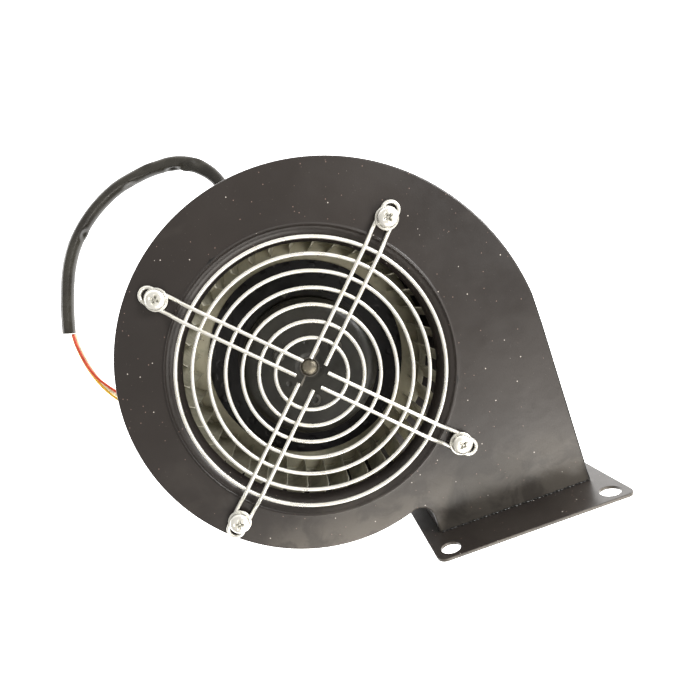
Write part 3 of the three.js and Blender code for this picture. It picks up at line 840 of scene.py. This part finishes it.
def add_wrap():
    """The curved side wall, one strip between the two plates."""
    solid = Solid()
    low, high = wrap_low.z, wrap_high.z
    rows = [solid.row(wrap_line(SEAM, z)) for z in np.linspace(low, high, WRAP_LEVELS)]
    rows += [solid.row(wrap_line(SEAM + SHEET, z)) for z in np.linspace(high, low, WRAP_LEVELS)]
    for first, second in zip(rows, rows[1:] + rows[:1]):
        solid.band(first, second, closed=False)
    for end in (0, -1):
        outer = [row[end] for row in rows[:WRAP_LEVELS]]
        inner = [row[end] for row in reversed(rows[WRAP_LEVELS:])]
        solid.band(outer, inner, closed=False)
    solid.piece("scroll_wrap_sheet", CASING, "casing_paint", ["scroll_wrap"], flat=True)


def add_flange():
    """The outlet flange: rounded corners, four bolt holes and the mouth."""
    middle = (flange_low + flange_high) / 2
    size = flange_high - flange_low
    edge = 0.3
    corner = 4.0

    def outline(inset, z):
        points = []
        for quarter, (sx, sy) in enumerate(CORNERS):
            spot = Vector((sx * (size.x / 2 - corner), sy * (size.z / 2 - corner), z))
            points += [spot + polar(corner - inset, 90 * quarter + 90 * i / 12) for i in range(13)]
        return points

    def mouth(inset, z):
        left = NECK_LEFT_X + SEAM + SHEET - middle.x
        right = NECK_RIGHT_X - SEAM - SHEET - middle.x
        half = (FACE_Z - REAR_Z) / 2 - SHEET
        spots = [(left, -half), (right, -half), (right, half), (left, half)]
        ways = [(-1, -1), (1, -1), (1, 1), (-1, 1)]
        return [Vector((x + inset * wx, y + inset * wy, z)) for (x, y), (wx, wy) in zip(spots, ways)]

    thick = size.y
    levels = [(edge * 3, 0), (edge, 0), (edge * 0.3, edge * 0.3), (0, edge), (0, thick - edge),
              (edge * 0.3, thick - edge * 0.3), (edge, thick), (edge * 3, thick)]
    solid = Solid()
    rim = [solid.row(outline(inset, z)) for inset, z in levels]
    opening = [solid.row(mouth(inset, z)) for inset, z in levels[1:-1]]
    solid.stack(rim)
    solid.stack(opening)
    back, front = [rim[0], opening[0]], [rim[-1], opening[-1]]
    for sx, sy in CORNERS:
        centre = (sx * FLANGE_HOLE_X, sy * FLANGE_HOLE_Z)
        hole = [solid.ring(FLANGE_HOLE_R + inset, z, 40, centre) for inset, z in levels[1:-1]]
        solid.stack(hole)
        back.append(hole[0])
        front.append(hole[-1])
    solid.fill(back)
    solid.fill(front)
    stand = Matrix.Translation((middle.x, flange_high.y, middle.z)) @ Matrix.Rotation(math.pi / 2, 4, "X")
    solid.moved(stand).piece(
        "outlet_flange_sheet", CASING, "casing_paint", ["outlet_flange"], "flange_paint", flat=True)


def add_joint_bead():
    """Uneven bead of paint along the joint of the front plate and the flange."""
    spots = np.arange(NECK_LEFT_X + 1, NECK_RIGHT_X - 1, 0.5)
    line = [Vector((x, flange_high.y + 0.1, FACE_Z + 0.05)) for x in spots]

    def section(i):
        return round_section(0.42 + 0.14 * math.sin(1.7 * i) + 0.12 * math.sin(0.61 * i + 2))

    bead = Solid()
    bead.sweep(line, section)
    bead.piece("flange_joint_bead", CASING, "casing_paint", crease=60)


add_front_plate()
add_rear_plate()
add_wrap()
add_flange()
add_joint_bead()


# ---- guard and screws ----

GUARD_WIRE_R = 0.88
GUARD_OUTER_R = 59.0
GUARD_PITCH = 7.2
GUARD_HOOPS = 7
GUARD_Z = 99.8
SPOKE_Z = 101.1
SPOKE_HALF = 3.5
SPOKE_START_R = 6.0
SPOKE_BEND_R = 61.5
SPOKE_FOOT_R = 67.0
SPOKE_LOOP_R = 78.4
SPOKE_ANGLES = (45, 135, 225, 315)
WIRE_SECTION = round_section(GUARD_WIRE_R)
SCREW_TURNS = [18, 52, 71, 33]


def hoop(solid, radius):
    """One welded hoop of the guard."""
    steps = max(64, int(radius * 3.2))
    rows = []
    for i in range(steps):
        angle = 360 * i / steps
        outward = polar(1, angle)
        centre = polar(radius, angle, GUARD_Z)
        rows.append(solid.row(centre + outward * u + UP * v for u, v in WIRE_SECTION))
    solid.stack(rows + rows[:1])


def spoke(solid, angle):
    """One wire bent double: two legs over the hoops and a loop round the screw."""
    foot_z = FACE_Z + GUARD_WIRE_R + 0.2
    leg = [
        (SPOKE_START_R, SPOKE_Z), (SPOKE_BEND_R, SPOKE_Z),
        (SPOKE_FOOT_R, foot_z), (SPOKE_LOOP_R, foot_z),
    ]
    loop = [Vector((SPOKE_LOOP_R, 0, foot_z)) + polar(SPOKE_HALF, 90 - 15 * i) for i in range(1, 12)]
    bend_r = 3.0
    out = softened([Vector((r, SPOKE_HALF, z)) for r, z in leg], bend_r)
    back = softened([Vector((r, -SPOKE_HALF, z)) for r, z in reversed(leg)], bend_r)
    turn = Matrix.Rotation(math.radians(angle), 3, "Z")
    line = [turn @ point for point in out + loop + back]
    fine = [line[0]]
    for a, b in zip(line, line[1:]):
        count = max(1, round((b - a).length / 4))
        fine += [a.lerp(b, (i + 1) / count) for i in range(count)]
    solid.sweep(fine, lambda i: WIRE_SECTION)


def add_guard():
    """The finger guard: hoops with four bent wires over them."""
    solid = Solid()
    for i in range(GUARD_HOOPS):
        hoop(solid, GUARD_OUTER_R - GUARD_PITCH * i)
    for angle in SPOKE_ANGLES:
        spoke(solid, angle)
    solid.piece("guard_wires", CASING, "zinc_plate", ["finger_guard"], crease=50)


def cross_recess(x, y):
    """Depth of the driver's recess in a screw head."""
    def arm(along, aside):
        return ease(0.62, 0.38, abs(aside)) * ease(2.35, 1.25, abs(along))
    return 1.5 * max(arm(x, y), arm(y, x))


def pan_screw(head_r, head_h, shank_r, shank_length, turn):
    """A pan-head screw with a cross recess, its seat at z = 0."""
    solid = Solid()
    sides = 96
    rim = 0.25
    rows = [solid.ring(0, -shank_length, sides), solid.ring(shank_r * 0.8, -shank_length, sides)]
    threads = int(shank_length / 0.35)  # half a thread pitch each
    for i in range(threads):
        z = -shank_length + (i + 0.5) * shank_length / threads
        rows.append(solid.ring(shank_r * (1.0 if i % 2 else 0.86), z, sides))
    rows += [solid.ring(shank_r, 0, sides), solid.ring(head_r - rim, 0, sides)]
    rows.append(solid.ring(head_r, rim, sides))
    solid.stack(rows)
    last = rows[-1]
    steps = 34
    for i in range(1, steps + 1):
        share = i / steps
        radius = head_r * math.cos(math.pi / 2 * share) ** 0.55 if share < 1 else 0.0
        height = rim + (head_h - rim) * math.sin(math.pi / 2 * share) ** 0.75
        row = solid.ring(radius, height, sides)
        for k in row:
            point = solid.points[k]
            spun = Matrix.Rotation(math.radians(-turn), 3, "Z") @ point
            point.z -= cross_recess(spun.x, spun.y)
        solid.band(last, row)
        last = row
    return solid


def centre_of(node):
    """Middle, lowest and highest corner of a CAD node."""
    low, high = box_mm(node)
    return (low + high) / 2, low, high


def add_fasteners():
    """The guard's washers and screws, and the screws of the motor cover from behind."""
    screw_r = 2.0
    motor_head_h = 2.6
    for i, turn in enumerate(SCREW_TURNS, start=1):
        middle, low, high = centre_of(f"guard_washer_{i}")
        ring = turned(washer_profile(2.3, 5.2, low.z, high.z, 0.18), 64, centre=middle[:2])
        ring.piece(f"guard_washer_{i}_fine", CASING, "zinc_plate", [f"guard_washer_{i}"])
        seat = high.z + 0.05
        middle, low, high = centre_of(f"guard_screw_{i}")
        screw = pan_screw(4.6, high.z - seat, screw_r, seat - low.z, turn)
        screw.moved(Matrix.Translation((middle.x, middle.y, seat)))
        screw.piece(f"guard_screw_{i}_fine", CASING, "zinc_plate", [f"guard_screw_{i}"], crease=50)
        middle, low, high = centre_of(f"motor_screw_{i}")
        screw = pan_screw(3.9, motor_head_h, screw_r, 7.0, turn * 2)
        stand = Matrix.Translation((middle.x, middle.y, low.z + motor_head_h))
        screw.moved(stand @ Matrix.Rotation(math.pi, 4, "X"))
        screw.piece(f"motor_screw_{i}_fine", CASING, "zinc_plate", [f"motor_screw_{i}"], crease=50)


add_guard()
add_fasteners()


# ---- motor, fixed side ----

LEAD_HOLE_ANGLE = 100
LEAD_HOLE_Z = 12.5
LEAD_HOLE_R = 5.6
COVER_R = 43.0


def at_lead_hole(radius):
    """Turns +Z outwards through the lead hole, with its start at the given radius."""
    outward = Matrix.Rotation(math.radians(LEAD_HOLE_ANGLE - 90), 4, "Z")
    middle = Matrix.Translation((0, radius, LEAD_HOLE_Z))
    return outward @ middle @ Matrix.Rotation(-math.pi / 2, 4, "X")


def add_motor_cover():
    """The drawn cover the fan lies on, with a pressed step, a bolted lip and the lead hole."""
    low, high = box_mm("motor_cover")
    wall = 1.2
    corner = 5.0
    rim_z = high.z - 1.1
    lip = high.x
    profile = [
        (0, low.z),
        (24, low.z), (24.6, low.z + 0.1), (25.4, low.z + 0.8), (26, low.z + 0.9),
        (31, low.z + 0.9), (31.6, low.z + 0.8), (32.4, low.z + 0.1), (33, low.z),
        *bend(COVER_R - corner, low.z + corner, corner, -90, 0, 10),
        (COVER_R, rim_z - 1.4), *bend(COVER_R + 1.4, rim_z - 1.4, 1.4, 180, 90, 5),
        (lip - 0.3, rim_z), (lip, rim_z + 0.3), (lip, high.z - 0.2), (lip - 0.2, high.z),
        (COVER_R - wall, high.z),
        *bend(COVER_R - corner, low.z + corner, corner - wall, 0, -90, 8),
        (33, low.z + wall), (32, low.z + 0.9 + wall), (26, low.z + 0.9 + wall), (24, low.z + wall),
        (0, low.z + wall),
    ]
    cover = turned(profile, 144, closed=False).piece(
        "motor_cover_shell", CASING, "casing_paint", ["motor_cover"])
    drill = turned([(0, 0), (LEAD_HOLE_R, 0), (LEAD_HOLE_R, 10), (0, 10)], 48, closed=False)
    cutter = drill.moved(at_lead_hole(COVER_R - 5)).piece("drill", CASING, "casing_paint")
    cut_away(cover, cutter)


def cut_away(piece, cutter):
    """Takes the cutter's space out of the piece for good, and removes the cutter."""
    modifier = piece.modifiers.new("cut", "BOOLEAN")
    modifier.object = cutter
    modifier.solver = "EXACT"
    graph = bpy.context.evaluated_depsgraph_get()
    mesh = bpy.data.meshes.new_from_object(piece.evaluated_get(graph))
    piece.modifiers.clear()
    piece.data = mesh
    mesh.shade_smooth()
    mesh.set_sharp_from_angle(angle=math.radians(35))
    level_normals(piece)
    bpy.data.objects.remove(cutter)


def add_grommet():
    """Rubber grommet in the lead hole, with a rounded collar outside and a flange inside."""
    bore = SLEEVE_R + 0.15
    neck, collar = 5.4, 7.2
    profile = [
        (bore, -3.6), *bend(6.7, -3.3, 0.5, -90, 0, 4), (collar, -2.2),
        (neck, -2.2), (neck, 0.2), (collar, 0.2),
        *bend(6.4, 1.0, 0.8, 0, 60, 5), (5.2, 2.3), *bend(4.75, 2.3, 0.35, 40, 150, 5), (bore, 2.2),
    ]
    turned(profile, 64).moved(at_lead_hole(COVER_R)).piece(
        "lead_grommet_fine", CASING, "grommet_rubber", ["lead_grommet"])


def add_motor_flange():
    """Cast motor flange; only its rim shows between the cover's lip and the rear plate."""
    low, high = box_mm("motor_flange")
    rim_low, rim_high = 31.2, 33.8
    rim = high.x
    bore, tube = 11.2, 13
    profile = [
        (bore, low.z), (12.8, low.z), (tube, low.z + 0.2), (tube, rim_low - 1.5),
        *bend(14.5, rim_low - 1.5, 1.5, 180, 90, 4),
        (rim - 0.4, rim_low), (rim, rim_low + 0.4), (rim, rim_high - 0.4), (rim - 0.4, rim_high),
        *bend(14.5, rim_high + 1.5, 1.5, 270, 180, 4),
        (tube, high.z - 0.3), (12.7, high.z), (bore, high.z),
        (bore, 62), (8, 62), (8, 60), (bore, 60),
    ]
    turned(profile, 144).piece("motor_flange_casting", CASING, "cast_aluminium", ["motor_flange"])


add_motor_cover()
add_grommet()
add_motor_flange()


# ---- rotor and impeller ----

CAN_DENT_R = 12.5
CAN_DENT_ANGLES = (80, 200, 320)
BLADES = 36
BLADE_INNER_R = 57.4
BLADE_OUTER_R = 65.9
BLADE_THICK = 0.45
BLADE_START = 25
BLADE_END = 75
BAND_WIDTH = 1.4
BAND_INNER_R = 62.5
FRONT_RING_INNER_R = 61
REAR_RING_INNER_R = 48
DISC_BORE_R = 33.4
DISC_DIMPLES = 24
DIMPLE_R = 46.5
CLINCH_R = (49.6, 52.0)


def add_shaft():
    """The shaft, with its domed front end."""
    low, high = box_mm("shaft")
    profile = [
        (0, low.z), (3.4, low.z), (4, low.z + 0.6), (4, high.z - 1.9),
        (3.85, high.z - 1.35), (3.4, high.z - 0.85), (2.6, high.z - 0.4), (1.4, high.z - 0.1),
        (0, high.z),
    ]
    turned(profile, 64, closed=False).piece("shaft_fine", ROTOR, "bearing_steel", ["shaft"], "shaft_end")


def add_can():
    """Deep-drawn rotor can: flat end with a raised boss, dimples, rounded rim and flared foot."""
    low, high = box_mm("rotor_can")
    wall = 1.2
    radius = 33.0
    corner = 6.0
    foot = high.x
    outer = [
        (4.2, high.z - 0.5), (5.2, high.z - 0.5), (5.9, high.z - 0.35), (6.6, high.z - 0.05),
        (7.4, high.z), (9, high.z), *[(r, high.z) for r in np.arange(9.5, 19.1, 0.4)],
        (22, high.z), (27, high.z),
        *bend(radius - corner, high.z - corner, corner, 90, 0, 12),
        (radius, low.z + wall + 1.6), *bend(radius + 1.6, low.z + wall + 1.6, 1.6, 180, 270, 6),
        (foot - 0.2, low.z + wall), (foot, low.z + wall - 0.2), (foot, low.z + 0.2),
        (foot - 0.2, low.z), (radius - wall, low.z),
        *bend(radius - corner, high.z - corner, corner - wall, 0, 90, 8),
        (7.4, high.z - wall), (6, high.z - wall - 0.4), (4.2, high.z - wall - 0.4),
    ]
    can = turned(outer, 180)
    for point in can.points:
        if point.z > high.z - 0.6:
            for angle in CAN_DENT_ANGLES:
                away = (point.xy - polar(CAN_DENT_R, angle).xy).length
                point.z -= 0.55 * ease(1.5, 0.4, away)
    can.piece("rotor_can_shell", ROTOR, "rotor_steel", ["rotor_can"])


def add_rivets():
    """Rivets that hold the hub to the can, headed on the outside."""
    for i in (1, 2, 3):
        middle, low, high = centre_of(f"hub_rivet_{i}")
        seat = high.z - 1.5
        profile = [
            (0, low.z), (1.6, low.z), (1.6, seat + 0.05), (2.75, seat + 0.05), (2.9, seat + 0.25),
            (2.75, seat + 0.75), (2.3, seat + 1.15), (1.7, seat + 1.3), (1.3, seat + 1.15),
            (1.0, seat + 0.85), (0, seat + 0.75),
        ]
        rivet = turned(profile, 40, closed=False, centre=middle[:2])
        rivet.piece(f"hub_rivet_{i}_fine", ROTOR, "rotor_steel", [f"hub_rivet_{i}"])


def add_back_disc():
    """Black hub disc with pressed dimples and clinch marks where it holds the galvanised rear ring."""
    low, high = box_mm("impeller_back_disc")
    inner, outer = DISC_BORE_R, high.x
    pitch = 360 / DISC_DIMPLES
    radii = [inner, inner + 0.2, *np.arange(34.5, outer - 0.6, 0.5), outer - 0.2, outer]
    segments = 720
    rows = []
    solid = Solid()
    for k, radius in enumerate(radii):
        edge = 0.2 if k in (0, len(radii) - 1) else 0
        rows.append(solid.ring(radius, high.z - edge, segments))
    for radius in (outer, outer - 0.2, inner + 0.2, inner):
        edge = 0.2 if radius in (outer, inner) else 0
        rows.append(solid.ring(radius, low.z + edge, segments))
    solid.stack(rows + rows[:1])
    for row in rows[:len(radii)]:
        for i in row:
            point = solid.points[i]
            angle = math.degrees(math.atan2(point.y, point.x))
            around = (angle + pitch / 2) % pitch - pitch / 2
            radius = point.xy.length
            aside = math.radians(around) * radius
            if abs(radius - DIMPLE_R) < 3:
                away = math.hypot(radius - DIMPLE_R, aside)
                point.z -= 0.28 * ease(2.3, 1.9, away) - 0.16 * ease(1.7, 1.2, away)
            between = angle % pitch - pitch / 2
            aside = abs(math.radians(between) * radius)
            if CLINCH_R[0] < radius < CLINCH_R[1]:
                along = ease(CLINCH_R[0], 50.0, radius) * ease(51.9, 51.5, radius)
                point.z += 0.35 * ease(1.9, 1.4, aside) * along
    solid.piece("impeller_back_disc_fine", ROTOR, "disc_paint", ["impeller_back_disc"])


def add_rear_ring():
    """Galvanised rear ring of the blade cage; it shows inside the blades and between them."""
    low, high = box_mm("impeller_rear_ring")
    turned(washer_profile(REAR_RING_INNER_R, high.x, low.z, high.z, 0.2), 216).piece(
        "impeller_rear_ring_fine", ROTOR, "impeller_sheet", ["impeller_rear_ring"], "ring_sheet")


def blade_line(steps=10):
    """A blade's section from its inner to its outer edge: an arc hollow towards the way it turns."""
    start, end = math.radians(BLADE_START), math.radians(BLADE_END)
    radius = (BLADE_OUTER_R - BLADE_INNER_R) / (math.sin(end) - math.sin(start))
    line = []
    for i in range(steps + 1):
        heading = start + (end - start) * i / steps
        out = BLADE_INNER_R + radius * (math.sin(heading) - math.sin(start))
        lead = radius * (math.cos(start) - math.cos(heading))
        line.append((Vector((out, -lead, 0)), Vector((math.sin(heading), math.cos(heading), 0))))
    return line


def blade(solid, angle, low, high):
    """One blade with a rounded inner edge, turned to its place."""
    turn = Matrix.Rotation(math.radians(angle), 3, "Z")
    half = BLADE_THICK / 2
    line = blade_line()
    inner_tip = line[0][0] - polar(0.12, -BLADE_START)
    section = [p + n * half for p, n in line] + [p - n * half for p, n in reversed(line)] + [inner_tip]
    levels = np.linspace(low, high, 7)
    rows = [solid.row(turn @ point + UP * z for point in section) for z in levels]
    solid.stack(rows)
    sides = len(line)
    for row in (rows[0], rows[-1]):
        solid.band(row[:sides], list(reversed(row[sides:2 * sides])), closed=False)
        solid.faces.append((row[0], row[2 * sides - 1], row[-1]))


def add_cage():
    """The blade cage: one strip whose blades are pressed out between two bands."""
    low, high = box_mm("impeller_blade_cage")
    solid = Solid()
    for i in range(BLADES):
        blade(solid, 360 * i / BLADES, low.z + 0.1, high.z - 0.1)
    for bottom, top in ((low.z, low.z + BAND_WIDTH), (high.z - BAND_WIDTH, high.z)):
        turned(washer_profile(BAND_INNER_R, BLADE_OUTER_R + 0.1, bottom, top, 0.2), 216, solid=solid)
    solid.piece("impeller_blades", ROTOR, "impeller_sheet", ["impeller_blade_cage"])


def add_front_ring():
    """Front ring: a flat ring with rounded edges, which the blades are clinched to."""
    low, high = box_mm("impeller_front_ring")
    turned(washer_profile(FRONT_RING_INNER_R, high.x, low.z, high.z, 0.3), 216).piece(
        "impeller_front_ring_fine", ROTOR, "impeller_sheet", ["impeller_front_ring"], "ring_sheet")


add_shaft()
add_can()
add_rivets()
add_back_disc()
add_rear_ring()
add_cage()
add_front_ring()


# ---- CAD parts that keep their own mesh ----


def finish_cad_nodes():
    """Inner parts get the material of their slot in the record."""
    slots = {part["node"]: part["material_slot"] for part in frame["record"]["subparts"]}
    for name, node in frame["nodes"].items():
        if not node.hide_render:
            node.data.materials.clear()
            node.data.materials.append(FINISHES[slots[name]])


finish_cad_nodes()


# ---- floor and light ----


def add_floor():
    """Bright paper under the fan, which glows so that no shadow shows."""
    half, level = 4.0, -0.0001
    mesh = bpy.data.meshes.new("floor")
    mesh.from_pydata([(sx * half, sy * half, level) for sx, sy in CORNERS], [], [(2, 3, 0, 1)])
    piece = new_object("floor", mesh)
    paper = Finish("floor_paper", Emission_Color=(1, 1, 1, 1), Emission_Strength=2.2)
    paper.colour = (0.93, 0.93, 0.93, 1)
    paper.cloud(3, 2, 0.4, 0.6, (0.95, 0.95, 0.95, 1), share=0.3)
    paper.roughness(paper.noise(5), 0.8, 0.9)
    mesh.materials.append(paper.done())


def add_light(name, place, aim, size, power, colour=(1, 1, 1)):
    """A rectangular light; place, aim and size are in metres and power in watts."""
    data = bpy.data.lights.new(name, "AREA")
    data.shape = "RECTANGLE"
    data.size, data.size_y = size
    data.energy = power
    data.color = colour
    light = new_object(name, data)
    light.location = place
    light.rotation_mode = "QUATERNION"
    light.rotation_quaternion = (Vector(aim) - Vector(place)).to_track_quat("-Z", "Y")


def add_world():
    """A slightly warm studio: even overhead, bright low down on one side and dark on the other."""
    world = bpy.data.worlds.new("studio")
    world.use_nodes = True
    nodes = world.node_tree.nodes
    link = world.node_tree.links.new
    place = nodes.new("ShaderNodeTexCoord").outputs["Generated"]
    split = nodes.new("ShaderNodeSeparateXYZ")
    link(place, split.inputs["Vector"])
    side = nodes.new("ShaderNodeVectorMath")
    side.operation = "DOT_PRODUCT"
    link(place, side.inputs[0])
    side.inputs[1].default_value = (0.80, 0.60, 0)

    def fade(source, low, high, to_low, to_high):
        node = nodes.new("ShaderNodeMapRange")
        node.interpolation_type = "SMOOTHSTEP"
        for socket, value in {"From Min": low, "From Max": high, "To Max": to_high}.items():
            node.inputs[socket].default_value = value
        if isinstance(to_low, float):
            node.inputs["To Min"].default_value = to_low
        else:
            link(to_low, node.inputs["To Min"])
        link(source, node.inputs["Value"])
        return node.outputs["Result"]

    horizon = fade(side.outputs["Value"], -0.4, 0.5, 0.40, 2.1)
    link(fade(split.outputs["Z"], 0.0, 0.7, horizon, 0.55), nodes["Background"].inputs["Strength"])
    nodes["Background"].inputs["Color"].default_value = (1.0, 0.965, 0.92, 1)
    bpy.context.scene.world = world


add_floor()
add_world()
add_light("key", (0.40, -1.02, 1.28), (0.02, -0.04, 0.09), (1.4, 0.9), 26, (1.0, 0.96, 0.90))
add_light("window", (1.02, 0.42, 0.98), (0, 0, 0.09), (0.42, 0.42), 17)
bpy.context.scene.view_settings.view_transform = "Standard"
